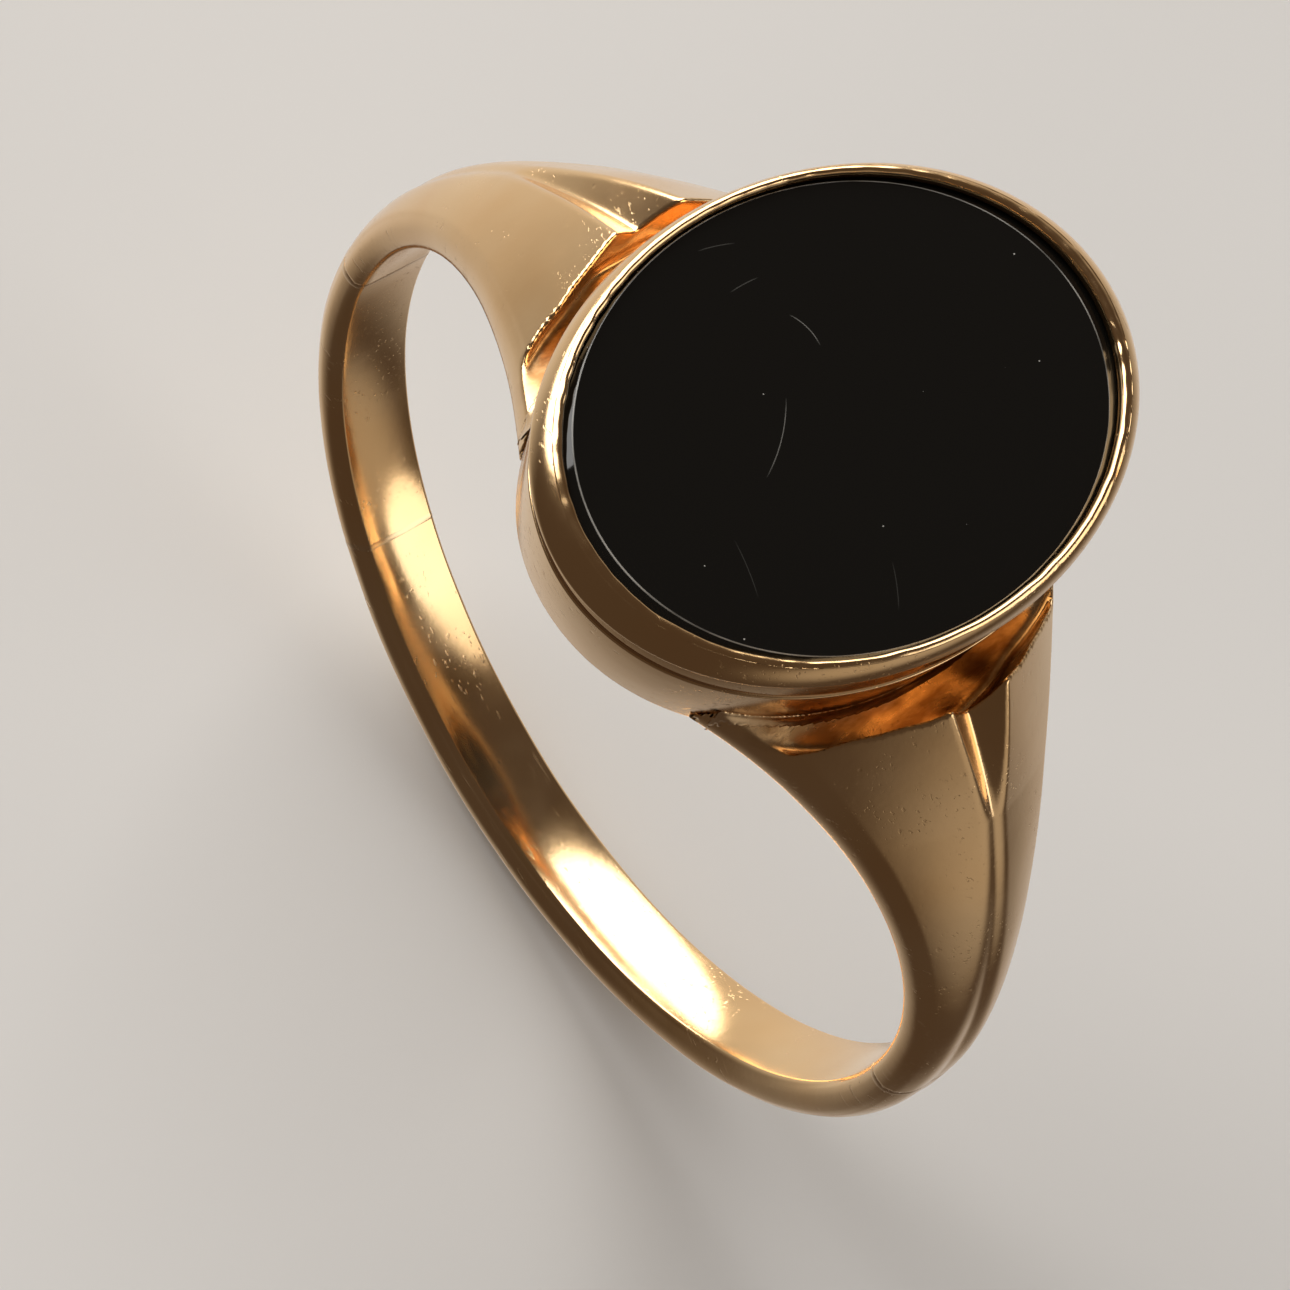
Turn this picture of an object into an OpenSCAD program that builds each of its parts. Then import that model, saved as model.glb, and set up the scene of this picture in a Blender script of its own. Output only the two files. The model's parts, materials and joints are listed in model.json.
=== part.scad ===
// Signet ring with an oval onyx tablet.
// A rub-over collar holds the stone on a ledge inside a tapered collet. The collet stands
// between two fluted shoulders, which run down into a half-round hoop.
// Origin: centre of the finger hole. Y runs along the finger, Z up through the stone.

/* [Finger hole] */
// Diameter of the finger hole
finger_d = 18; // [17.4:0.1:18.6]

/* [Stone] */
// Length of the oval stone, along the finger
stone_len = 11.04; // [10.8:0.02:11.3]
// Width of the oval stone, round the finger
stone_wid = 8.66; // [8.5:0.02:8.8]
// Thickness of the stone
stone_t = 1.6; // [1.4:0.1:1.7]
// Width of the bevel round the stone's polished table
stone_bevel_w = 0.3; // [0.15:0.05:0.4]
// Drop of that bevel
stone_bevel_h = 0.2; // [0.1:0.05:0.25]

/* [Head] */
// Height of the collar's lip above the finger hole
head_rise = 3.3; // [3.2:0.05:3.6]
// How far the lip is rubbed over the stone's edge
lip_over = 0.1; // [0.05:0.01:0.15]
// Width of the collar's rim at the sides of the stone
rim_side = 0.38; // [0.32:0.02:0.5]
// Extra width of the rim at the two ends of the stone
rim_end_extra = 0.22; // [0:0.02:0.3]
// How far the collet tapers inward from the collar down to its foot
collet_taper = 0.6; // [0.4:0.05:0.7]
// Wall thickness of the collet
collet_t = 0.42; // [0.35:0.01:0.5]

/* [Hoop] */
// Width of the hoop along the finger
hoop_w = 1.94; // [1.8:0.02:2.2]
// Thickness of the hoop at the sides of the finger
hoop_t = 0.96; // [0.85:0.01:1.2]
// Extra thickness of the hoop at the palm
palm_extra = 0.28; // [0.1:0.02:0.5]
// Angle from the palm to the solder seam where the hoop was once cut
sizing_angle = 40; // [25:1:60]

/* [Shoulders] */
// Extra half-width of a shoulder where it meets the head
shoulder_spread = 2.5; // [2.2:0.1:2.8]
// Extra height of a shoulder's ridges where they meet the head
ridge_rise = 1.75; // [1.4:0.05:1.9]
// Half-width of the groove between the two ridges at the head
groove_half = 0.68; // [0.5:0.02:0.8]
// Depth of that groove at the head
groove_depth = 0.68; // [0.4:0.02:0.8]
// Radius of the scoop between the shoulder and the collet, seen from above
scoop_r = 5.2; // [5.1:0.02:5.3]

/* [Hidden] */

$fn = 96;
gold = [0.85, 0.60, 0.38];
solder = [0.80, 0.62, 0.42];
onyx = [0.02, 0.02, 0.025];

finger_r = finger_d / 2;

// The lip's inner edge: its long half-axis, and its short one over that.
// Every oval of the head is this one grown or shrunk.
oval_y = stone_len / 2 - lip_over;
oval_ratio = (stone_wid / 2 - lip_over) / oval_y;

// Heights in the head, from the lip down.
table_drop = 0.18;
collar_h = 1.36;
girdle_rise = 0.3;
seam_h = 0.07;
collet_h = 3.5;
ledge_h = 0.4;
lip_z = finger_r + head_rise;
table_z = lip_z - table_drop;
seat_z = table_z - stone_t;
collar_z = lip_z - collar_h;
girdle_z = collar_z + girdle_rise;
collet_z = collar_z - seam_h;
collet_foot_z = collet_z - collet_h;

// Offsets in the head, outward from the lip's inner edge.
stone_foot_u = -0.35;
pocket_u = lip_over + 0.02;
collet_u = 0.29;
collar_foot_u = 0.25;
collet_foot_u = collet_u - collet_taper;
pocket_foot_u = stone_foot_u + 0.02;
pocket_top_u = -0.08;
ledge_u = -0.95;

// The hoop's section at the sides of the finger, before the shoulders spread.
// Its cheeks lean out from the finger hole, then the outside is domed.
foot_inset = 0.09;
hoop_edge = hoop_w / 2 - foot_inset;
foot_draft = 0.08;
cheek_in = 0.02;
cheek_bulge = foot_inset - cheek_in / 2;
cheek_lean = 0.3;
cheek_h = 0.66;
cheek_extra = 0.34;
dome = 0.07;
flute_half = 0.18;
flute_depth = 0.06;
flute_start = 0.2;
flute_run = 0.25;
spread_power = 2.3;
lean_power = 1.5;
cheek_power = 2;
ridge_power = 2.6;
groove_gain = groove_depth - flute_depth;

// Angles are counted from the palm, and the stone is at 180.
side_angle = 90;
groove_angle = 139;
head_angle = 155;
blank_end = 171;
seam_half = 0.3;
seam_turn = 30;

// The scoop between a shoulder and the collet leaves this much metal over the finger hole.
scoop_floor = 0.8;
// The solder between a shoulder and the collet.
film_t = 0.08;
// How far a shoulder's blank reaches inside the finger hole before it is cut.
blank_depth = 0.3;

// A point of the head's oval at an angle, grown by u at its long end.
function oval_point(angle, u) =
    (oval_y + u) * [oval_ratio * sin(angle), cos(angle)];

// Quads between neighbouring rings of points. The last ring joins the first if closed.
function ring_faces(rings, count, closed) =
    [for (k = [0 : rings - (closed ? 1 : 2)], i = [0 : count - 1])
        let (next = (k + 1) % rings, j = (i + 1) % count)
        [k * count + i, k * count + j, next * count + j, next * count + i]];

// The flat ends of a stack of rings.
function end_faces(rings, count) = [
    [for (i = [count - 1 : -1 : 0]) i],
    [for (i = [0 : count - 1]) (rings - 1) * count + i]];

// A ring round the oval. The section is a list of [offset, height, offset added at the ends].
module oval_ring(section) {
    polyhedron(
        points = [for (i = [0 : $fn - 1], p = section)
            let (
                angle = 360 * i / $fn,
                q = oval_point(angle, p[0] + p[2] * pow(cos(angle), 2)))
            [q[0], q[1], p[1]]],
        faces = ring_faces($fn, len(section), true),
        convexity = 6);
}

// A solid with an oval outline at each [offset, height], from the lowest up.
module oval_solid(levels) {
    polyhedron(
        points = [for (p = levels, i = [0 : $fn - 1])
            let (q = oval_point(360 * i / $fn, p[0])) [q[0], q[1], p[1]]],
        faces = concat(ring_faces(len(levels), $fn, false), end_faces(len(levels), $fn)),
        convexity = 4);
}

// A cylinder along the finger. Its seam line is turned away from the ends of the other parts.
module finger_cylinder(r) {
    rotate([90, seam_turn, 0])
        cylinder(r = r, h = 4 * oval_y, center = true);
}

module finger_hole() {
    finger_cylinder(finger_r);
}

// How far a shoulder has opened: 0 at the hoop, 1 at the head.
function opening(t) = max(0, (t - side_angle) / (head_angle - side_angle));
function capped(t) = min(1, opening(t));
function edge_half(t) = hoop_edge + shoulder_spread * pow(opening(t), spread_power);
function cheek_half(t) = edge_half(t) + cheek_in - cheek_lean * pow(capped(t), lean_power);
function cheek_radius(t) = finger_r + cheek_h + cheek_extra * pow(capped(t), cheek_power);
function ridge_radius(t) = finger_r + hoop_t + ridge_rise * pow(opening(t), ridge_power);
function groove_open(t) = max(0, (t - groove_angle) / (head_angle - groove_angle));
function ridge_half(t) = flute_half + (groove_half - flute_half) * groove_open(t);
function flute_open(t) = min(1, flute_start + opening(t) / flute_run);
function valley_radius(t) =
    ridge_radius(t) - flute_depth * flute_open(t) - groove_gain * groove_open(t);

// Half of the section at an angle, as [y, radius], from the foot to the ridge.
// The foot lies below the finger hole's wall, which is cut afterwards.
function half_section(t, foot_depth) =
    let (
        cheek = [cheek_half(t), cheek_radius(t)],
        ridge = [ridge_half(t), ridge_radius(t)],
        waist = [(edge_half(t) + cheek_half(t)) / 2 + cheek_bulge, finger_r + cheek_h / 2])
    concat(
        [[edge_half(t) - foot_draft, finger_r - foot_depth], waist],
        [for (k = [0 : 0.2 : 1]) cheek + k * (ridge - cheek) + [0, 4 * dome * k * (1 - k)]]);

// The whole section, with its valley in the middle.
function section(t, foot_depth) =
    let (half = half_section(t, foot_depth))
    concat(
        half,
        [[0, valley_radius(t)]],
        [for (i = [len(half) - 1 : -1 : 0]) [-half[i][0], half[i][1]]]);

// The right-hand shoulder before anything is cut from it.
module shoulder_blank() {
    steps = 40;
    count = len(section(side_angle, blank_depth));
    polyhedron(
        points = [for (i = [0 : steps])
            let (t = side_angle + (blank_end - side_angle) * i / steps)
            for (p = section(t, blank_depth)) [p[1] * sin(t), p[0], -p[1] * cos(t)]],
        faces = concat(ring_faces(steps + 1, count, false), end_faces(steps + 1, count)),
        convexity = 6);
}

// The solid inside the collet's outer wall, grown by u.
module collet_outside(u) {
    scale([oval_ratio, 1, 1])
        translate([0, 0, collet_foot_z])
        cylinder(
            r1 = oval_y + collet_foot_u + u,
            r2 = oval_y + collet_u + u,
            h = collet_z - collet_foot_z);
}

// The crescent scooped out between a shoulder and the collet.
module scoop() {
    difference() {
        cylinder(r = scoop_r, h = 2 * lip_z);
        finger_cylinder(finger_r + scoop_floor);
    }
}

module shoulder() {
    color(gold)
        difference() {
            shoulder_blank();
            finger_hole();
            collet_outside(film_t);
            scoop();
        }
}

module head_solder() {
    color(solder)
        difference() {
            intersection() {
                shoulder_blank();
                collet_outside(film_t);
            }
            finger_hole();
            collet_outside(0);
            scoop();
        }
}

// The hoop between two angles. It bends round a centre below the finger's,
// so it grows thicker towards the palm and matches the shoulders at the sides.
module hoop(from, to) {
    grow = palm_extra * palm_extra / (2 * finger_r);
    reach = 3 * finger_r;
    middle = (from + to) / 2;
    difference() {
        intersection() {
            translate([0, 0, -palm_extra])
                rotate([90, 0, 0])
                rotate_extrude()
                polygon([for (p = section(side_angle, 2 * palm_extra)) [p[1] + grow, p[0]]]);
            rotate([90, 0, 0])
                linear_extrude(height = 2 * hoop_w, center = true)
                polygon(concat([[0, 0]],
                    [for (t = [from, middle, to]) reach * [sin(t), -cos(t)]]));
        }
        finger_hole();
    }
}

module onyx_tablet() {
    color(onyx)
        oval_solid([
            [stone_foot_u, seat_z],
            [lip_over, girdle_z],
            [lip_over, table_z - stone_bevel_h],
            [lip_over - stone_bevel_w, table_z]]);
}

// The rubbed lip, the bevel below it, a rounded bead and an undercut foot.
module bezel_collar() {
    color(gold)
        oval_ring([
            [pocket_u, collar_z, 0],
            [pocket_u, lip_z - 0.36, 0],
            [0, lip_z - 0.24, 0],
            [0, lip_z - 0.1, 0],
            [0.05, lip_z - 0.02, 0],
            [0.11, lip_z, 0],
            [0.17, lip_z - 0.04, 0.1 * rim_end_extra],
            [rim_side - 0.02, lip_z - 0.4, rim_end_extra],
            [rim_side, lip_z - 0.47, rim_end_extra],
            [rim_side - 0.01, lip_z - 0.55, rim_end_extra],
            [collar_foot_u + 0.02, lip_z - 0.64, rim_end_extra / 2],
            [collar_foot_u, lip_z - 0.8, 0],
            [collar_foot_u, collar_z, 0]]);
}

module collar_seam() {
    color(solder)
        oval_ring([
            [pocket_u, collet_z, 0],
            [pocket_u, collar_z, 0],
            [collar_foot_u, collar_z, 0],
            [collar_foot_u, collet_z, 0]]);
}

// The tapered cup under the collar. Its foot is cut to the finger hole.
module collet() {
    color(gold)
        difference() {
            oval_ring([
                [collet_foot_u - collet_t, collet_foot_z, 0],
                [pocket_foot_u, seat_z, 0],
                [pocket_top_u, collet_z, 0],
                [collet_u, collet_z, 0],
                [collet_foot_u, collet_foot_z, 0]]);
            finger_hole();
        }
}

// The ledge that the stone rests on, inside the collet.
module bearing_ledge() {
    depth = ledge_h / (seat_z - collet_foot_z);
    lean = pocket_foot_u - (collet_foot_u - collet_t);
    color(gold)
        oval_ring([
            [ledge_u, seat_z - ledge_h, 0],
            [ledge_u, seat_z, 0],
            [pocket_foot_u, seat_z, 0],
            [pocket_foot_u - depth * lean, seat_z - ledge_h, 0]]);
}

module right_shoulder() shoulder();
module left_shoulder() mirror([1, 0, 0]) shoulder();
module right_head_solder() head_solder();
module left_head_solder() mirror([1, 0, 0]) head_solder();

module left_shank() {
    color(gold) hoop(-side_angle + 2 * seam_half, -sizing_angle - seam_half);
}
module right_shank() {
    color(gold) hoop(-sizing_angle + seam_half, side_angle - 2 * seam_half);
}
module sizing_seam() {
    color(solder) hoop(-sizing_angle - seam_half, -sizing_angle + seam_half);
}
module left_shank_seam() {
    color(solder) hoop(-side_angle, -side_angle + 2 * seam_half);
}
module right_shank_seam() {
    color(solder) hoop(side_angle - 2 * seam_half, side_angle);
}

onyx_tablet();
bezel_collar();
collar_seam();
collet();
bearing_ledge();
left_shoulder();
right_shoulder();
left_head_solder();
right_head_solder();
left_shank();
right_shank();
sizing_seam();
left_shank_seam();
right_shank_seam();
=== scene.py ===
import json
import math
from itertools import product

import bpy
import numpy as np
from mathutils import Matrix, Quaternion, Vector


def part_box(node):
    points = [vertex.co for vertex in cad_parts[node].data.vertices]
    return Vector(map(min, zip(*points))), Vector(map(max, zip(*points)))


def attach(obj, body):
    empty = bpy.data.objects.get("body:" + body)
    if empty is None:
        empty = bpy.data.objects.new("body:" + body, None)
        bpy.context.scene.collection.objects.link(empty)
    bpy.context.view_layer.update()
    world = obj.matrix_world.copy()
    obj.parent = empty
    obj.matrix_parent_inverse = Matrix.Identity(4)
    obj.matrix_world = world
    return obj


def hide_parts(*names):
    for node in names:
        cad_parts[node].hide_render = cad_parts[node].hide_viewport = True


# A signet ring: an oval onyx tablet in a rub-over collar, on a tapered collet between two
# fluted shoulders and a half-round hoop. The frame is the CAD's: the finger hole is round
# the Y axis and the stone faces up. Shapes are worked out in millimetres.

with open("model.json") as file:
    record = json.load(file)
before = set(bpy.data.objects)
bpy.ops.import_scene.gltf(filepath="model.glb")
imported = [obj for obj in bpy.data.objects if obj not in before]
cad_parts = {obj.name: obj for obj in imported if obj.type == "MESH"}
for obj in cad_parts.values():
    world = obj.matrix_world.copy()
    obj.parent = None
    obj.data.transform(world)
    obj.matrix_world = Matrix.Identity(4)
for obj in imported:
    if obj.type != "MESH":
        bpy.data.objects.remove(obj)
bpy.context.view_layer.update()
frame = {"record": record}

MM = 0.001
BODY = "root"
rng = np.random.default_rng(7)


# ---------------------------------------------------------------- camera

CAMERA_AZIMUTH = 18.68
CAMERA_ELEVATION = 63.91
CAMERA_ROLL = 39.71
CAMERA_DISTANCE = 101.9 * MM
CAMERA_TARGET = Vector((-0.13, 0.01, 0.02)) * MM
CAMERA_LENS = 147.2
CAMERA_SENSOR = 36
CAMERA_NEAR = 0.001
CAMERA_FAR = 10


def direction(azimuth, elevation):
    """The unit vector from the object towards a viewer. Azimuth 0 is in front, at -Y."""
    a, e = math.radians(azimuth), math.radians(elevation)
    return Vector((math.sin(a) * math.cos(e), -math.cos(a) * math.cos(e), math.sin(e)))


def add_camera():
    data = bpy.data.cameras.new("camera")
    data.sensor_width = CAMERA_SENSOR
    data.lens = CAMERA_LENS
    data.clip_start = CAMERA_NEAR
    data.clip_end = CAMERA_FAR
    camera = bpy.data.objects.new("camera", data)
    back = direction(CAMERA_AZIMUTH, CAMERA_ELEVATION)
    camera.location = CAMERA_TARGET + back * CAMERA_DISTANCE
    camera.rotation_mode = "QUATERNION"
    roll = Quaternion((0, 0, 1), math.radians(CAMERA_ROLL))
    camera.rotation_quaternion = (-back).to_track_quat("-Z", "Y") @ roll
    bpy.context.scene.collection.objects.link(camera)
    bpy.context.scene.camera = camera


add_camera()


# ---------------------------------------------------------------- sizes, in millimetres


def node_box(name):
    low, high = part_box(name)
    return low / MM, high / MM


stone_low, stone_high = node_box("onyx_tablet")
collar_low, collar_high = node_box("bezel_collar")
collet_low, collet_high = node_box("collet")
ledge_low, ledge_high = node_box("bearing_ledge")
shank_low, shank_high = node_box("right_shank")

finger_r = frame["record"]["mounts"][0]["dims"]["r_mm"]

# The head. Offsets are outward from the lip's inner edge, along the finger.
LIP_OVER = 0.1
oval_y = stone_high.y - LIP_OVER
oval_ratio = stone_high.x / stone_high.y
lip_z = collar_high.z
collar_z = collar_low.z
table_z = stone_high.z
seat_z = stone_low.z
collet_z = collet_high.z
COLLET_H = 3.5
collet_foot_z = collet_z - COLLET_H
ledge_h = ledge_high.z - ledge_low.z
stone_foot_u = -0.35
STONE_BEVEL_SIDE = 0.06
STONE_BEVEL_END = 0.24
STONE_BEVEL_H = 0.14
STONE_EDGE = 0.02
GIRDLE_RISE = 0.3
girdle_z = collar_z + GIRDLE_RISE
POCKET_GAP = 0.02
pocket_u = LIP_OVER + POCKET_GAP
rim_side = collar_high.x / oval_ratio - oval_y
rim_end_extra = collar_high.y - oval_y - rim_side
collar_foot_u = 0.25
collet_u = 0.29
collet_foot_u = -0.31
COLLET_T = 0.42
HEAD_EDGE = 0.05
pocket_foot_u = stone_foot_u + POCKET_GAP
pocket_top_u = -0.08
ledge_u = -0.95

# The hoop. Its outside bends round a centre below the finger's.
palm_extra = -shank_low.z - shank_high.x
palm_grow = palm_extra**2 / (2 * finger_r)
hoop_t = shank_high.x - finger_r - palm_grow
FOOT_INSET = 0.09
hoop_edge = shank_high.y - FOOT_INSET
CHEEK_IN = 0.02
CHEEK_BULGE = FOOT_INSET - CHEEK_IN / 2
CHEEK_H = 0.66
DOME = 0.07
FLUTE_HALF = 0.18
FLUTE_DEPTH = 0.06
FLUTE_START = 0.2
FLUTE_RUN = 0.25

# The shoulders. Angles are counted from the palm, and the stone is at 180.
SIDE_ANGLE = 90
HEAD_ANGLE = 155
SIZING_ANGLE = 40
SEAM_HALF = 0.3
SHOULDER_SPREAD = 2.5
SPREAD_POWER = 2.3
RIDGE_POWER = 2.6
CHEEK_EXTRA = 0.34
CHEEK_POWER = 2
CHEEK_LEAN = 0.3
LEAN_POWER = 1.5
GROOVE_DEPTH = 0.68
SCOOP_R = 5.2
SCOOP_FLOOR = 0.8

# The two shoulders were filed by hand, so they aren't quite alike: where the groove between
# the ridges starts, its half-width at the head, and the rise of the ridges there.
FILED = {
    "right": {"start": 140, "half": 0.68, "rise": 1.84},
    "left": {"start": 130, "half": 0.78, "rise": 1.6},
}

# How far each kind of edge is worn round.
BORE_SOFT = 0.22
CHEEK_SOFT = 0.16
RIDGE_SOFT = 0.1
VALLEY_SOFT = 0.05
LIP_SOFT = 0.09
SCOOP_SOFT = 0.3
JOINT_SOFT = 0.01
SOLDER_FILLET = 0.22

# How proud a hoop seam stands. The solder at the head stops where it is thinner than
# SOLDER_THIN, and sinks into the collet and stops short of the bore by a little.
SEAM_LIFT = 0.004
SOLDER_THIN = 0.004
SOLDER_SUNK = 0.05
SOLDER_SHORT = 0.01

# How deep hand work has left each surface uneven, and the length of its waves.
POLISH_DEPTH = 0.02
POLISH_WAVE = 3.1
LIP_DEPTH = 0.04
LIP_WAVE = 1.3
CUP_DEPTH = 0.012
CUP_WAVE = 2.3

# The leaves' lips swell a little towards the collet in their middle.
LIP_SWELL = 0.13
LIP_SWELL_Y = 1.9
LIP_SWELL_W = 0.8


# ---------------------------------------------------------------- shapes as fields
# A field is below 0 inside its solid. Points are rows of x, y, z.


def smooth_max(a, b, soft):
    """The larger of two fields, with the edge between them rounded by about soft."""
    blend = np.maximum(soft - np.abs(a - b), 0) / soft
    return np.maximum(a, b) + blend**2 * soft / 4


def smooth_min(a, b, soft):
    return -smooth_max(-a, -b, soft)


def uneven(points, depth, wave):
    """How much hand polishing has taken off: from 0 to depth, over a wave's length."""
    x, y, z = np.moveaxis(points, -1, 0) * (2 * math.pi / wave)
    mix = np.sin(x + 1.7 * np.sin(0.6 * z)) + np.sin(1.3 * y - 0.8 * x) + np.sin(0.9 * z + 1.1 * y)
    return depth * (mix / 6 + 0.5)


def section_field(t, r, w, filed):
    """The outside of the hoop or shoulder at angle t and radius r, at w from its middle."""
    opening = np.maximum(0, (t - SIDE_ANGLE) / (HEAD_ANGLE - SIDE_ANGLE))
    capped = np.minimum(1, opening)
    groove = np.maximum(0, (t - filed["start"]) / (HEAD_ANGLE - filed["start"]))
    edge = hoop_edge + SHOULDER_SPREAD * opening**SPREAD_POWER
    cheek = edge + CHEEK_IN - CHEEK_LEAN * capped**LEAN_POWER
    cheek_r = finger_r + CHEEK_H + CHEEK_EXTRA * capped**CHEEK_POWER
    ridge = FLUTE_HALF + (filed["half"] - FLUTE_HALF) * groove
    ridge_r = finger_r + hoop_t + filed["rise"] * opening**RIDGE_POWER
    flute = FLUTE_DEPTH * np.minimum(1, FLUTE_START + opening / FLUTE_RUN)
    valley_depth = flute + (GROOVE_DEPTH - FLUTE_DEPTH) * groove

    k = (w - ridge) / (cheek - ridge)
    leaf = r - (ridge_r + (cheek_r - ridge_r) * k + 4 * DOME * k * (1 - k))
    out = np.sqrt(w**2 + VALLEY_SOFT**2) / ridge
    valley = r - (ridge_r + valley_depth * (out - 1))
    up = np.clip((r - finger_r) / (cheek_r - finger_r), 0, 1)
    side = w - (edge + (cheek - edge) * up + 4 * CHEEK_BULGE * up * (1 - up))
    return smooth_max(smooth_max(leaf, valley, RIDGE_SOFT), side, CHEEK_SOFT)


def hoop_field(points):
    """The whole hoop, as if there were no shoulders."""
    x, y, z = np.moveaxis(points, -1, 0)
    r = np.hypot(x, z + palm_extra) - palm_grow
    outside = section_field(SIDE_ANGLE, r, np.abs(y), FILED["right"])
    outside = outside + SEAM_LIFT + uneven(points, POLISH_DEPTH, POLISH_WAVE)
    bore = finger_r - np.hypot(x, z)
    return smooth_max(outside, bore, BORE_SOFT)


def collet_field(points):
    """The solid inside the collet's outer wall."""
    x, y, z = np.moveaxis(points, -1, 0)
    up = (z - collet_foot_z) / (collet_z - collet_foot_z)
    offset = collet_foot_u + (collet_u - collet_foot_u) * up
    return (np.hypot(x / oval_ratio, y) - oval_y - offset) * oval_ratio


def blank_field(points, filed):
    """A shoulder before its bore and its collet seat are cut, with its scoop."""
    x, y, z = np.moveaxis(points, -1, 0)
    r = np.hypot(x, z)
    t = np.degrees(np.arctan2(np.abs(x), -z))
    outside = section_field(t, r, np.abs(y), filed)
    outside = outside + SEAM_LIFT + uneven(points, POLISH_DEPTH, POLISH_WAVE)
    swell = LIP_SWELL * np.exp(-(((np.abs(y) - LIP_SWELL_Y) / LIP_SWELL_W) ** 2))
    lip = SCOOP_R - swell - np.hypot(x, y) + uneven(points, LIP_DEPTH, LIP_WAVE)
    floor = r - finger_r - SCOOP_FLOOR
    return smooth_max(outside, smooth_min(lip, floor, SCOOP_SOFT), LIP_SOFT)


def shoulder_field(points, filed):
    x, y, z = np.moveaxis(points, -1, 0)
    solid = smooth_max(blank_field(points, filed), finger_r - np.hypot(x, z), BORE_SOFT)
    solid = smooth_max(solid, -collet_field(points), JOINT_SOFT)
    return smooth_max(solid, -z, JOINT_SOFT)


def fillet_field(points, filed):
    """The solder that has run into the corner between a shoulder and the collet."""
    x, y, z = np.moveaxis(points, -1, 0)
    blank, cup = blank_field(points, filed), collet_field(points)
    joined = smooth_min(blank, cup, SOLDER_FILLET)
    thin = SOLDER_THIN - (np.minimum(blank, cup) - joined)
    sunk = -SOLDER_SUNK - cup
    bore = finger_r + SOLDER_SHORT - np.hypot(x, z)
    return np.maximum.reduce([joined, thin, sunk, bore])


GRADIENT_STEP = 0.002
GENTLEST = 0.04


def gradient(field, points):
    steps = GRADIENT_STEP * np.eye(3)
    rises = [field(points + step) - field(points - step) for step in steps]
    return np.stack(rises, axis=-1) / (2 * GRADIENT_STEP)


def project(field, points, rounds=3):
    """The points moved onto the field's surface."""
    for _ in range(rounds):
        slope = gradient(field, points)
        steepness = np.maximum((slope**2).sum(-1), GENTLEST)
        points = points - slope * (field(points) / steepness)[:, None]
    return points


def relax(points, quads):
    """The points moved halfway to the middle of their neighbours."""
    starts = quads.ravel()
    ends = np.roll(quads, -1, axis=1).ravel()
    a, b = np.concatenate([starts, ends]), np.concatenate([ends, starts])
    count = np.bincount(a, minlength=len(points))
    middle = np.stack(
        [np.bincount(a, points[b, i], minlength=len(points)) / count for i in range(3)], axis=-1
    )
    return (points + middle) / 2


def surface_nets(field, low, high, cell, rounds=5):
    """The surface of a field in a box, as points and quads: one point for each grid cell
    that the surface passes through, relaxed and put back onto the surface."""
    sizes = np.ceil((np.array(high) - low) / cell).astype(int) + 1
    axes = [low[i] + cell * np.arange(sizes[i]) for i in range(3)]
    inside = np.stack(
        [field(np.stack(np.meshgrid(x, *axes[1:], indexing="ij"), axis=-1)) < 0 for x in axes[0]]
    ).reshape(sizes)
    corners = sum(
        inside[tuple(slice(o, o + n - 1) for o, n in zip(offset, sizes))].astype(int)
        for offset in product((0, 1), repeat=3)
    )
    mixed = (corners > 0) & (corners < 8)
    index = np.full(mixed.shape, -1)
    index[mixed] = np.arange(mixed.sum())
    points = np.array(low) + cell * (np.argwhere(mixed) + 0.5)

    quads = []
    for axis in range(3):
        ahead = np.roll(inside, -1, axis)
        crossing = inside != ahead
        crossing[tuple(-1 if i == axis else slice(None) for i in range(3))] = False
        for side in range(3):
            if side != axis:
                crossing[tuple(0 if i == side else slice(None) for i in range(3))] = False
                crossing[tuple(-1 if i == side else slice(None) for i in range(3))] = False
        at = np.argwhere(crossing)
        u, v = np.eye(3, dtype=int)[(axis + 1) % 3], np.eye(3, dtype=int)[(axis + 2) % 3]
        loop = np.stack([index[tuple((at - d).T)] for d in (0 * u, u, u + v, v)], axis=-1)
        flip = ~inside[tuple(at.T)]
        loop[flip] = loop[flip, ::-1]
        quads.append(loop)
    quads = np.concatenate(quads)
    for _ in range(rounds):
        points = project(field, relax(points, quads), 2)
    return project(field, points), quads


# ---------------------------------------------------------------- meshes and pieces


def add_piece(name, points, faces, material, slot, *nodes, sharp=None, grime=None):
    """One piece that rides on the ring and stands for the CAD nodes. Its last argument, a number
    for each point, is painted light: 0 for none, 1 for painted shade in a recess or a painted
    highlight on the stone's table edge."""
    mesh = bpy.data.meshes.new(name)
    mesh.from_pydata((np.asarray(points) * MM).tolist(), [], np.asarray(faces, object).tolist())
    mesh.polygons.foreach_set("use_smooth", [True] * len(mesh.polygons))
    if sharp is not None:
        mesh.set_sharp_from_angle(angle=math.radians(sharp))
    if grime is not None:
        mesh.attributes.new("grime", "FLOAT", "POINT").data.foreach_set("value", grime)
    mesh.materials.append(material)
    piece = bpy.data.objects.new(name, mesh)
    bpy.context.scene.collection.objects.link(piece)
    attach(piece, BODY)
    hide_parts(*nodes)


def ring_quads(rings, count, closed):
    """Quads between rings of points. The last ring joins the first if closed."""
    last = rings if closed else rings - 1
    k, i = np.meshgrid(np.arange(last), np.arange(count), indexing="ij")
    after, beside = (k + 1) % rings, (i + 1) % count
    corners = (k * count + i, k * count + beside, after * count + beside, after * count + i)
    return np.stack(corners, axis=-1).reshape(-1, 4).tolist()


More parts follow.
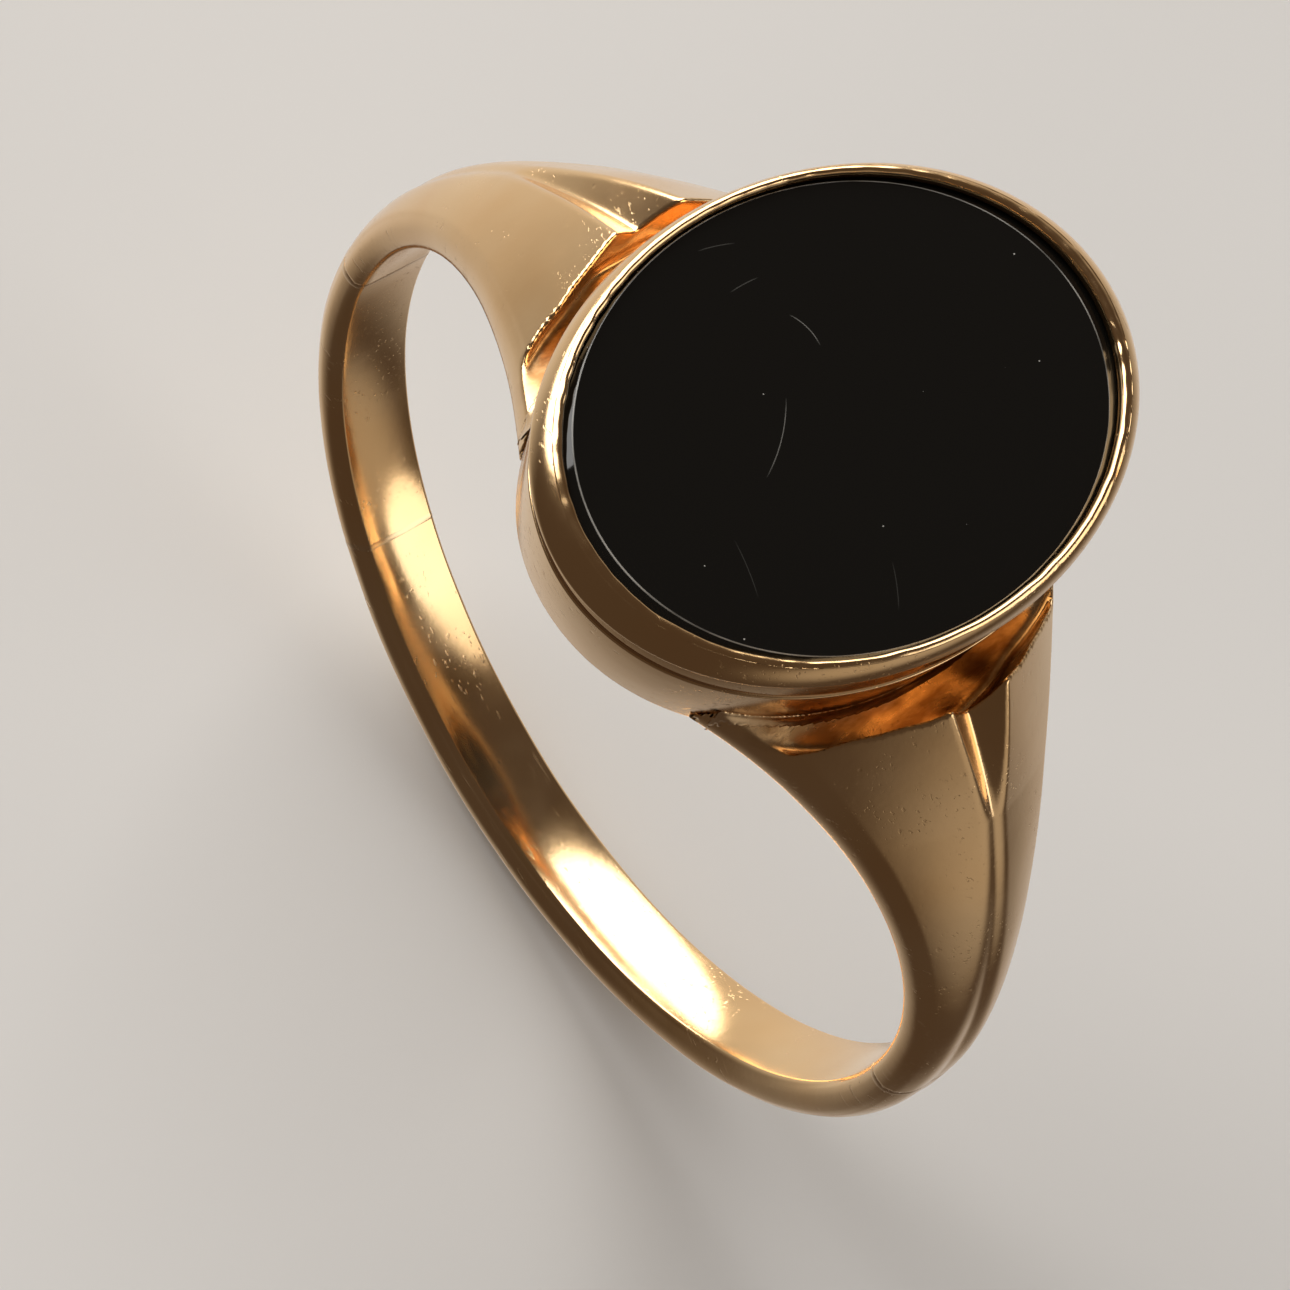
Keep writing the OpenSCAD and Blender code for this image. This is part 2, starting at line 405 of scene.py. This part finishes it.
def rounded(outline, reach, steps=4, closed=True):
    """An outline with each corner turned into a short curve."""
    outline = [np.array(p, float) for p in outline]
    result = []
    for i, corner in enumerate(outline):
        if not closed and i in (0, len(outline) - 1):
            result.append(corner)
            continue
        to_before = outline[i - 1] - corner
        to_after = outline[(i + 1) % len(outline)] - corner
        start = corner + to_before * min(reach / np.linalg.norm(to_before[:2]), 0.45)
        end = corner + to_after * min(reach / np.linalg.norm(to_after[:2]), 0.45)
        for s in np.linspace(0, 1, steps + 1):
            result.append((1 - s) ** 2 * start + 2 * s * (1 - s) * corner + s**2 * end)
    return np.array(result)


def ripple(angles, depth, lowest, highest):
    """A gentle irregular wave round the oval, from -depth to 0."""
    waves = np.arange(lowest, highest)
    sizes = rng.uniform(0.3, 1, len(waves))
    phases = rng.uniform(0, 2 * math.pi, len(waves))
    wave = sum(s * np.cos(n * angles + p) for s, n, p in zip(sizes, waves, phases))
    return -depth * (0.5 + 0.5 * wave / np.abs(wave).max())


OVAL_STEPS = 384
oval_angles = np.linspace(0, 2 * math.pi, OVAL_STEPS, endpoint=False)


def oval_points(offsets, heights):
    """Points round the head, for arrays of [angle, point of the section]."""
    x = (oval_y + offsets) * oval_ratio * np.sin(oval_angles)[:, None]
    y = (oval_y + offsets) * np.cos(oval_angles)[:, None]
    return np.stack([x, y, heights + 0 * x], axis=-1)


def oval_ring(section, drift=0.0, drop=0.0):
    """Points and quads of a ring round the head. The section's points are
    [offset, height, offset added at the two ends]."""
    ends = np.cos(oval_angles)[:, None] ** 2
    points = oval_points(section[:, 0] + section[:, 2] * ends + drift, section[:, 1] + drop)
    return points.reshape(-1, 3), ring_quads(OVAL_STEPS, len(section), True)


BEVEL_BULGE = 0.04
BEVEL_OUTWARD = np.array([0.64, 0.77, 0])
BEVEL_POINTS = 6
LIP_RUBBED = 0.035
BEAD_WORN = 0.02


def add_collar(material):
    """The rubbed lip, the bevel below it, a rounded bead and an undercut foot. Burnishing
    has left the lip rippled, and wear has left the bead a little uneven."""
    bevel_top = np.array([0.18, lip_z - 0.03, 0.1 * rim_end_extra])
    bevel_foot = np.array([rim_side - 0.02, lip_z - 0.4, rim_end_extra])
    bulge = BEVEL_BULGE * BEVEL_OUTWARD
    steps = np.linspace(0, 1, BEVEL_POINTS)
    section = rounded(
        [
            [pocket_u, collar_z, 0],
            [pocket_u, lip_z - 0.36, 0],
            [0, lip_z - 0.24, 0],
            [0, lip_z - 0.1, 0],
            [0.04, lip_z - 0.02, 0],
            [0.11, lip_z, 0],
            *[bevel_top * (1 - s) + bevel_foot * s + bulge * 4 * s * (1 - s) for s in steps],
            [rim_side, lip_z - 0.47, rim_end_extra],
            [rim_side - 0.01, lip_z - 0.55, rim_end_extra],
            [collar_foot_u + 0.02, lip_z - 0.64, rim_end_extra / 2],
            [collar_foot_u, lip_z - 0.8, 0],
            [collar_foot_u, collar_z, 0],
        ],
        HEAD_EDGE,
    )
    height = section[:, 1]
    near_lip = np.clip((height - lip_z + 0.3) / 0.2, 0, 1) * (section[:, 0] < 0.2)
    near_bead = np.clip((height - collar_z - 0.4) / 0.2, 0, 1) * (section[:, 0] > 0.2)
    rubbed = ripple(oval_angles, LIP_RUBBED, 9, 70)[:, None]
    hollow = ripple(oval_angles, BEAD_WORN, 2, 9)[:, None]
    drift = -rubbed * near_lip * 0.6 + hollow * near_bead
    drop = rubbed * near_lip
    points, quads = oval_ring(section, drift, drop)
    add_piece("collar", points, quads, material, "gold", "bezel_collar")


def add_collar_seam(material):
    """The solder line between the collar and the collet."""
    section = np.array(
        [
            [pocket_u, collet_z, 0],
            [pocket_u, collar_z, 0],
            [collar_foot_u, collar_z, 0],
            [collar_foot_u + 0.02, (collar_z + collet_z) / 2, 0],
            [collar_foot_u, collet_z, 0],
        ]
    )
    points, quads = oval_ring(section, ripple(oval_angles, 0.01, 12, 50)[:, None])
    add_piece("collar_solder", points, quads, material, "solder", "collar_seam", sharp=40)


def cut_by_bore(top, foot):
    """How far down a wall from top to foot the finger hole cuts it, at each angle."""
    above, below = np.zeros(OVAL_STEPS), np.full(OVAL_STEPS, 1.2)
    for _ in range(30):
        middle = (above + below) / 2
        offset = top[0] + (foot[0] - top[0]) * middle
        height = top[1] + (foot[1] - top[1]) * middle
        x = (oval_y + offset) * oval_ratio * np.sin(oval_angles)
        outside = np.hypot(x, height) > finger_r
        above = np.where(outside, middle, above)
        below = np.where(outside, below, middle)
    return above


def add_collet(material):
    """The tapered cup under the collar, with its foot on the finger hole."""
    top = np.array([collet_u, collet_z])
    foot = np.array([collet_foot_u, collet_foot_z])
    seat = np.array([pocket_foot_u, seat_z])
    inner_foot = foot - [COLLET_T, 0]
    wall = foot + (top - foot) * (1 - cut_by_bore(top, foot))[:, None]
    inner = inner_foot + (seat - inner_foot) * (1 - cut_by_bore(seat, inner_foot))[:, None]
    corners = [
        wall,
        np.broadcast_to(top, wall.shape),
        np.broadcast_to([pocket_top_u, collet_z], wall.shape),
        np.broadcast_to(seat, wall.shape),
        inner,
    ]
    sections = [rounded([c[i] for c in corners], HEAD_EDGE) for i in range(OVAL_STEPS)]
    sections = np.array(sections)
    wavy = uneven(oval_points(sections[..., 0], sections[..., 1]), CUP_DEPTH, CUP_WAVE)
    outer = sections[..., 0] > (pocket_top_u + collet_u) / 2 - 0.5 * (collet_z - sections[..., 1])
    points = oval_points(sections[..., 0] - wavy * outer, sections[..., 1])
    quads = ring_quads(OVAL_STEPS, sections.shape[1], True)
    points = points.reshape(-1, 3)
    # The collet's outer wall in the recess between the shoulders is marked for painted shade.
    grime = recess_shade(points) * outer.ravel()
    add_piece("collet_cup", points, quads, material, "gold", "collet", grime=grime)


LEDGE_EDGE = 0.06
LEDGE_ROUGH = 0.04


def add_ledge(material):
    """The ring inside the collet that the stone rests on. Its inner edge is rough cut."""
    depth = ledge_h / (seat_z - collet_foot_z)
    lean = pocket_foot_u - (collet_foot_u - COLLET_T)
    section = rounded(
        [
            [ledge_u, seat_z - ledge_h, 0],
            [ledge_u, seat_z, 0],
            [pocket_foot_u, seat_z, 0],
            [pocket_foot_u - depth * lean, seat_z - ledge_h, 0],
        ],
        LEDGE_EDGE,
    )
    drift = ripple(oval_angles, LEDGE_ROUGH, 3, 20)[:, None] * (section[:, 0] < -0.7)
    points, quads = oval_ring(section, -drift)
    add_piece("stone_ledge", points, quads, material, "gold", "bearing_ledge", sharp=50)


# How far below the table the band of painted highlight along its edge starts and ends.
EDGE_HIGHLIGHT_FROM = 0.001
EDGE_HIGHLIGHT_TO = 0.012


def add_stone(material):
    """The tablet, from its back up its tapered side and over the bevel to the table."""
    profile = rounded(
        [
            [-3, seat_z, 0],
            [stone_foot_u, seat_z, 0],
            [LIP_OVER, girdle_z, 0],
            [LIP_OVER, table_z - STONE_BEVEL_H, 0],
            [-STONE_BEVEL_SIDE, table_z, STONE_BEVEL_SIDE - STONE_BEVEL_END],
            [-3, table_z, 0],
        ],
        STONE_EDGE,
        closed=False,
    )
    ends = np.cos(oval_angles)[:, None] ** 2
    points = oval_points(profile[:, 0] + profile[:, 2] * ends, profile[:, 1])
    points = points.transpose(1, 0, 2).reshape(-1, 3)
    count = len(profile)
    faces = ring_quads(count, OVAL_STEPS, False)
    faces.append(list(range(OVAL_STEPS))[::-1])
    faces.append(list(range((count - 1) * OVAL_STEPS, count * OVAL_STEPS)))
    faces = [face[::-1] for face in faces]
    below_table = table_z - points[:, 2]
    # A thin band just below the table's edge is marked for a painted highlight.
    edge_highlight_band = (below_table > EDGE_HIGHLIGHT_FROM) & (below_table < EDGE_HIGHLIGHT_TO)
    add_piece("stone", points, faces, material, "onyx", "onyx_tablet", grime=edge_highlight_band * 1.0)


def recess_shade(points):
    """How deep points lie in the recess between a shoulder and the collet, where painted shade
    darkens the gold.
    """
    x, y, z = np.moveaxis(points, -1, 0)
    inward = np.clip((SCOOP_R - 0.02 - np.hypot(x, y)) / 0.15, 0, 1)
    outward = np.clip((np.hypot(x, z) - finger_r - 0.3) / 0.4, 0, 1)
    between = np.clip((3.6 - np.abs(y)) / 0.5, 0, 1)
    low = np.clip((collet_z - 0.05 - z) / 0.5, 0, 1)
    return inward * outward * between * low


SHOULDER_CELL = 0.055
SOLDER_CELL = 0.035
GRID_MARGIN = 0.3
SOLDER_START_X = 3
SOLDER_FOOT = 1.2


def add_shoulder(side, material, solder):
    """One shoulder and the solder that joins it to the collet."""
    mirror = np.array([-1 if side == "left" else 1, 1, 1])
    low, high = node_box("right_shoulder")
    low, high = np.array(low) - GRID_MARGIN, np.array(high) + GRID_MARGIN
    parts = (
        (side + "_leaves", shoulder_field, SHOULDER_CELL, material, "gold", side + "_shoulder"),
        (side + "_solder", fillet_field, SOLDER_CELL, solder, "solder", side + "_head_solder"),
    )
    for name, field, cell, look, slot, node in parts:

        def mirrored(points, field=field):
            return field(points * mirror, FILED[side])

        if slot == "solder":
            low[0], low[2] = SOLDER_START_X, finger_r - SOLDER_FOOT
            high[0] = oval_y
        ends = np.sort(np.stack([low * mirror, high * mirror]), axis=0)
        points, quads = surface_nets(mirrored, ends[0], ends[1], cell)
        # The points in the recess by the collet are marked for painted shade.
        add_piece(name, points, quads, look, slot, node, grime=recess_shade(points))


HOOP_EDGE = 0.12
HOOP_FLANK_Y = 0.55
HOOP_FLANK_DROP = 0.06
SEAM_RINGS = 9


def hoop_outline():
    """Points round the hoop's section, as [y, radius], close together at its edges."""
    crest = finger_r + hoop_t
    half = rounded(
        [
            [0, finger_r],
            [hoop_edge, finger_r],
            [hoop_edge + CHEEK_BULGE, finger_r + CHEEK_H / 2],
            [hoop_edge + CHEEK_IN, finger_r + CHEEK_H],
            [HOOP_FLANK_Y, crest - HOOP_FLANK_DROP],
            [FLUTE_HALF, crest],
            [0, crest - FLUTE_START * FLUTE_DEPTH],
        ],
        HOOP_EDGE,
        steps=6,
        closed=False,
    )
    return np.concatenate([half, half[-2:0:-1] * [-1, 1]])


def add_hoop_part(name, start, end, material, slot, node):
    """The hoop between two angles, with flat ends. A seam is a thin skin that stands just
    proud of the metal in its middle and sinks into it at its two sides."""
    outline = hoop_outline()
    seam = slot == "solder"
    if seam:
        start, end = start - SEAM_HALF, end + SEAM_HALF
    count = SEAM_RINGS if seam else math.ceil(end - start) + 1
    angles = np.radians(np.linspace(start, end, count))[:, None]
    across, along = np.sin(angles), -np.cos(angles)
    outside = (outline[:, 1] - finger_r) / hoop_t
    grown = outline[:, 1] - palm_extra * outside * np.minimum(along, 0)
    points = np.stack([grown * across, outline[:, 0] + 0 * grown, grown * along], axis=-1)
    flat = np.stack([across, 0 * across, along], axis=-1).repeat(len(outline), axis=1)
    points, flat = points.reshape(-1, 3), flat.reshape(-1, 3)
    beside = np.linspace(-1, 1, count).repeat(len(outline))
    lift = SEAM_LIFT * (1 - 2 * beside**2) if seam else 0
    for _ in range(4):
        slope = gradient(hoop_field, points)
        slope[:, 0:3:2] = (slope * flat).sum(-1)[:, None] * flat[:, 0:3:2]
        step = (hoop_field(points) - lift) / (slope**2).sum(-1).clip(GENTLEST)
        points -= slope * step[:, None]
    quads = ring_quads(count, len(outline), False)
    quads.append(list(range(len(outline)))[::-1])
    quads.append(list(range((count - 1) * len(outline), count * len(outline))))
    add_piece(name, points, quads, material, slot, node, sharp=50)


# ---------------------------------------------------------------- materials

GOLD_LIGHT = (0.92, 0.65, 0.36)
GOLD_DEEP = (0.87, 0.57, 0.28)
# The dark brown that the recesses are painted towards, as painted shade.
RECESS_SHADE_COLOUR = (0.34, 0.18, 0.07)

# Scratches on the stone, as arcs in millimetres and degrees: the centre, the radius, the
# angle of the arc's middle and half its span, and how strongly it shows.
ONYX_SCRATCHES = (
    ((-2.6, -3.5), 3.28, 42, 14, 0.3),
    ((-1.43, -0.67), 1.02, 103, 22, 0.35),
    ((-0.8, -1.05), 3.0, 165, 7, 0.1),
    ((0.13, -0.24), 3.0, 180, 6, 0.12),
    ((1.16, -4.56), 4.0, 62, 6.5, 0.06),
    ((0.46, -8.1), 5.0, 78, 6.4, 0.06),
)


class Nodes:
    """Short calls for building one material's nodes."""

    def __init__(self, name):
        self.material = bpy.data.materials.new(name)
        self.material.use_nodes = True
        self.tree = self.material.node_tree
        self.shader = self.tree.nodes["Principled BSDF"]
        coordinates = self.tree.nodes.new("ShaderNodeTexCoord")
        self.place = coordinates.outputs["Object"]

    def new(self, kind, **settings):
        node = self.tree.nodes.new(kind)
        for key, value in settings.items():
            setattr(node, key, value)
        return node

    def link(self, source, target):
        if hasattr(source, "is_output"):
            self.tree.links.new(source, target)
        else:
            target.default_value = source

    def mapped(self, scale, turn=(0, 0, 0)):
        """Object coordinates times scale: 1000 makes them millimetres."""
        node = self.new("ShaderNodeMapping")
        self.link(self.place, node.inputs["Vector"])
        node.inputs["Scale"].default_value = scale if isinstance(scale, tuple) else (scale,) * 3
        node.inputs["Rotation"].default_value = [math.radians(a) for a in turn]
        return node.outputs["Vector"]

    def noise(self, scale, turn=(0, 0, 0), detail=3.0, roughness=0.5, distortion=0.0):
        node = self.new("ShaderNodeTexNoise")
        self.link(self.mapped(scale, turn), node.inputs["Vector"])
        node.inputs["Scale"].default_value = 1
        node.inputs["Detail"].default_value = detail
        node.inputs["Roughness"].default_value = roughness
        node.inputs["Distortion"].default_value = distortion
        return node.outputs["Fac"]

    def spots(self, scale):
        """The distance to the nearest of many scattered points."""
        node = self.new("ShaderNodeTexVoronoi")
        self.link(self.mapped(scale), node.inputs["Vector"])
        node.inputs["Scale"].default_value = 1
        return node.outputs["Distance"]

    def span(self, value, low, high, to_low=0.0, to_high=1.0):
        """The value's range low to high, moved to another range and clamped."""
        node = self.new("ShaderNodeMapRange")
        for socket, source in zip(node.inputs, (value, low, high, to_low, to_high)):
            self.link(source, socket)
        return node.outputs["Result"]

    def math(self, operation, *values):
        node = self.new("ShaderNodeMath", operation=operation)
        for socket, value in zip(node.inputs, values):
            self.link(value, socket)
        return node.outputs[0]

    def attribute(self, name):
        node = self.new("ShaderNodeAttribute", attribute_name=name)
        return node.outputs["Fac"]

    def total(self, *values):
        result = values[0]
        for value in values[1:]:
            result = self.math("ADD", result, value)
        return result

    def mix(self, share, a, b):
        node = self.new("ShaderNodeMix", data_type="RGBA")
        self.link(share, node.inputs["Factor"])
        self.link((*a, 1) if isinstance(a, tuple) else a, node.inputs["A"])
        self.link((*b, 1) if isinstance(b, tuple) else b, node.inputs["B"])
        return next(o for o in node.outputs if o.type == "RGBA")

    def arc_mark(self, centre, radius, middle, half, width=0.012):
        """A thin curved mark on the XY plane, in millimetres and degrees: 1 in the mark."""
        split = self.new("ShaderNodeSeparateXYZ")
        self.link(self.mapped(1000), split.inputs[0])
        x = self.math("SUBTRACT", split.outputs["X"], centre[0])
        y = self.math("SUBTRACT", split.outputs["Y"], centre[1])
        away = self.math("SQRT", self.math("MULTIPLY_ADD", x, x, self.math("MULTIPLY", y, y)))
        off = self.math("ABSOLUTE", self.math("SUBTRACT", away, radius))
        angle = math.radians(middle)
        rise = self.math("MULTIPLY", y, math.sin(angle))
        along = self.math("MULTIPLY_ADD", x, math.cos(angle), rise)
        turn = self.math("DIVIDE", along, away)
        line = self.span(off, width / 3, width, 1, 0)
        end, fade = math.cos(math.radians(half)), math.cos(math.radians(half * 0.5))
        return self.math("MULTIPLY", line, self.span(turn, end, fade))

    def hairlines(self, turn, fineness=900, length=0.5, threshold=0.66):
        """Thin straight scratches that run one way: 0, and up to 1 in a scratch."""
        across = fineness * 12
        fine = self.noise((fineness * length, across, across), turn, 2, 0.6, 0.3)
        return self.span(fine, threshold, threshold + 0.06)

    def bump(self, height, depth):
        node = self.new("ShaderNodeBump")
        node.inputs["Distance"].default_value = depth
        node.inputs["Strength"].default_value = 1
        self.link(height, node.inputs["Height"])
        self.link(node.outputs["Normal"], self.shader.inputs["Normal"])

    def set(self, **values):
        for key, value in values.items():
            self.link(value, self.shader.inputs[key.replace("_", " ")])


def gold_material(name, light=GOLD_LIGHT, deep=GOLD_DEEP, wear=1.0, dull=0.0):
    """Polished gold with the marks of use: hairlines and tiny pits, and painted shade that darkens
    it in the recesses.
    """
    n = Nodes(name)
    bloom = n.span(n.noise(420, detail=4), 0.35, 0.7)
    lines = n.math(
        "MAXIMUM",
        n.math("MAXIMUM", n.hairlines((20, 35, 10)), n.hairlines((75, -20, 50), threshold=0.68)),
        n.hairlines((-30, 60, 115), fineness=700, threshold=0.68),
    )
    rubbed = n.span(n.noise(650, detail=2), 0.42, 0.62)
    scratches = n.math("MULTIPLY", lines, rubbed)
    pits = n.span(n.spots(2600), 0.05, 0.14, 1, 0)
    pits = n.math("MULTIPLY", pits, n.span(n.noise(900, detail=1), 0.56, 0.64))
    grain = n.noise(9000, detail=2)
    streaks = n.noise((900, 900, 5200), (20, 0, 0), detail=4, roughness=0.6)
    # Painted shade: where a piece marks its recesses, broken up by streaks, the base colour goes
    # dark brown and the metal rougher.
    grime = n.math("MULTIPLY", n.attribute("grime"), n.span(streaks, 0.3, 0.62, 0.25, 1))
    height = n.total(
        n.math("MULTIPLY", scratches, -1.0 * wear),
        n.math("MULTIPLY", pits, -1.0 * wear),
        n.math("MULTIPLY", n.noise(1500, detail=3), 1.2),
        n.math("MULTIPLY", grain, 0.12),
        n.math("MULTIPLY", grime, 1.5),
    )
    n.bump(height, 3.0e-6)
    roughness = n.total(
        n.span(bloom, 0, 1, 0.13 + dull, 0.25 + dull),
        n.math("MULTIPLY", scratches, 0.14 * wear),
        n.math("MULTIPLY", grime, 0.16),
    )
    clean = n.mix(n.span(n.noise(260, detail=3), 0.35, 0.65), light, deep)
    n.set(Base_Color=n.mix(grime, clean, RECESS_SHADE_COLOUR), Metallic=1.0, Roughness=roughness)
    return n.material


def onyx_material():
    """Black polished stone with a few scratches, specks of dust and a painted highlight along its
    table's edge.
    """
    n = Nodes("onyx")
    marks_and_edge_highlight = n.span(n.spots(1350), 0.012, 0.026, 1, 0)
    for centre, radius, middle, half, strength in ONYX_SCRATCHES:
        mark = n.arc_mark(centre, radius, middle, half)
        marks_and_edge_highlight = n.math("MAXIMUM", marks_and_edge_highlight, n.math("MULTIPLY", mark, strength))
    haze = n.span(n.noise(330, detail=5, roughness=0.65), 0.35, 0.75, 0.03, 0.07)
    # A broken grey line along the table's marked edge is a painted highlight; it joins the
    # scratches and dust specks.
    edge_highlight = n.span(n.noise(900, detail=3), 0.35, 0.65, 0.25, 0.8)
    marks_and_edge_highlight = n.math("MAXIMUM", marks_and_edge_highlight, n.math("MULTIPLY", n.attribute("grime"), edge_highlight))
    n.set(
        Base_Color=n.mix(marks_and_edge_highlight, (0.005, 0.005, 0.0045), (0.42, 0.41, 0.38)),
        Roughness=n.total(haze, n.math("MULTIPLY", marks_and_edge_highlight, 0.35)),
        IOR=1.54,
    )
    n.bump(n.math("MULTIPLY", marks_and_edge_highlight, -1.0), 1.0e-6)
    return n.material


def floor_material():
    n = Nodes("floor")
    tone = n.span(n.noise(40, detail=2), 0.3, 0.7)
    n.set(
        Base_Color=n.mix(tone, (0.66, 0.65, 0.635), (0.69, 0.68, 0.665)),
        Roughness=0.9,
        Specular_IOR_Level=0.1,
    )
    return n.material


# ---------------------------------------------------------------- the ring

gold = gold_material("gold")
# A darker copy of the gold, for the collar's solder line and the ledge down in the head: painted
# shade.
shaded_gold = gold_material("gold_recess", (0.72, 0.47, 0.25), (0.52, 0.31, 0.14), wear=1.3, dull=0.08)
solder = gold_material("solder", (0.90, 0.66, 0.40), (0.82, 0.57, 0.32), wear=1.2, dull=0.06)

add_stone(onyx_material())
add_collar(gold)
add_collar_seam(shaded_gold)
add_collet(gold)
add_ledge(shaded_gold)
for shoulder_side in ("left", "right"):
    add_shoulder(shoulder_side, gold, solder)

# Each part of the hoop: its name and node, where it starts and ends, its look and slot.
side_end = SIDE_ANGLE - 2 * SEAM_HALF
sizing_start = -SIZING_ANGLE - SEAM_HALF
sizing_end = -SIZING_ANGLE + SEAM_HALF
hoop_parts = (
    ("left_hoop", "left_shank", -side_end, sizing_start, gold, "gold"),
    ("right_hoop", "right_shank", sizing_end, side_end, gold, "gold"),
    ("sizing_solder", "sizing_seam", sizing_start, sizing_end, solder, "solder"),
    ("left_hoop_solder", "left_shank_seam", -SIDE_ANGLE, -side_end, solder, "solder"),
    ("right_hoop_solder", "right_shank_seam", side_end, SIDE_ANGLE, solder, "solder"),
)
for part_name, part_node, start, end, look, slot in hoop_parts:
    add_hoop_part(part_name, start, end, look, slot, part_node)


# ---------------------------------------------------------------- floor and light


FLOOR_HALF = 0.5


def add_floor():
    """A pale floor that the polished metal doesn't mirror."""
    z = shank_low.z * MM
    mesh = bpy.data.meshes.new("floor")
    corners = [(x, y, z) for x, y in ((-1, -1), (1, -1), (1, 1), (-1, 1))]
    corners = [(x * FLOOR_HALF, y * FLOOR_HALF, z) for x, y, z in corners]
    mesh.from_pydata(corners, [], [(0, 1, 2, 3)])
    mesh.materials.append(floor_material())
    floor = bpy.data.objects.new("floor", mesh)
    bpy.context.scene.collection.objects.link(floor)
    floor.visible_glossy = False


ROOM_COLOUR = (0.075, 0.055, 0.042, 1)
# Each glow: where it is (azimuth, elevation), the cosine where it starts, its colour.
ROOM_GLOWS = (
    ((-130, -38), 0.15, (0.72, 0.68, 0.64, 1)),
    ((98, -4), 0.81, (0.42, 0.38, 0.34, 1)),
)


def add_light(name, azimuth, elevation, distance, size, power, colour):
    """A soft oval light that faces the ring."""
    data = bpy.data.lights.new(name, "AREA")
    data.shape = "ELLIPSE"
    data.size, data.size_y = size
    data.energy = power
    data.color = colour
    light = bpy.data.objects.new(name, data)
    towards = direction(azimuth, elevation)
    light.location = towards * distance
    light.visible_camera = False
    light.rotation_mode = "QUATERNION"
    light.rotation_quaternion = towards.to_track_quat("Z", "Y")
    bpy.context.scene.collection.objects.link(light)


def add_world():
    """A dark warm room with pale glows low down at the sides, seen only in the polish."""
    world = bpy.data.worlds.new("studio")
    world.use_nodes = True
    nodes, link = world.node_tree.nodes, world.node_tree.links.new
    way = nodes.new("ShaderNodeTexCoord").outputs["Generated"]
    below = None
    for place, start, colour in ROOM_GLOWS:
        facing = nodes.new("ShaderNodeVectorMath")
        facing.operation = "DOT_PRODUCT"
        facing.inputs[1].default_value = direction(*place)
        share = nodes.new("ShaderNodeMapRange")
        share.interpolation_type = "SMOOTHSTEP"
        share.inputs["From Min"].default_value = start
        share.inputs["From Max"].default_value = 1.0
        blend = nodes.new("ShaderNodeMix")
        blend.data_type = "RGBA"
        blend.inputs["A"].default_value = ROOM_COLOUR
        blend.inputs["B"].default_value = colour
        link(way, facing.inputs[0])
        link(facing.outputs["Value"], share.inputs["Value"])
        link(share.outputs["Result"], blend.inputs["Factor"])
        if below:
            link(below, blend.inputs["A"])
        below = blend.outputs["Result"]
    link(below, nodes["Background"].inputs["Color"])
    bpy.context.scene.world = world


add_floor()
add_world()
add_light("key", -98, 31, 0.60, (1.0, 0.78), 8.0, (1, 0.98, 0.95))
add_light("rim", 132, 22, 0.68, (0.62, 0.52), 1.4, (1, 0.97, 0.93))
bpy.context.scene.view_settings.view_transform = "Standard"
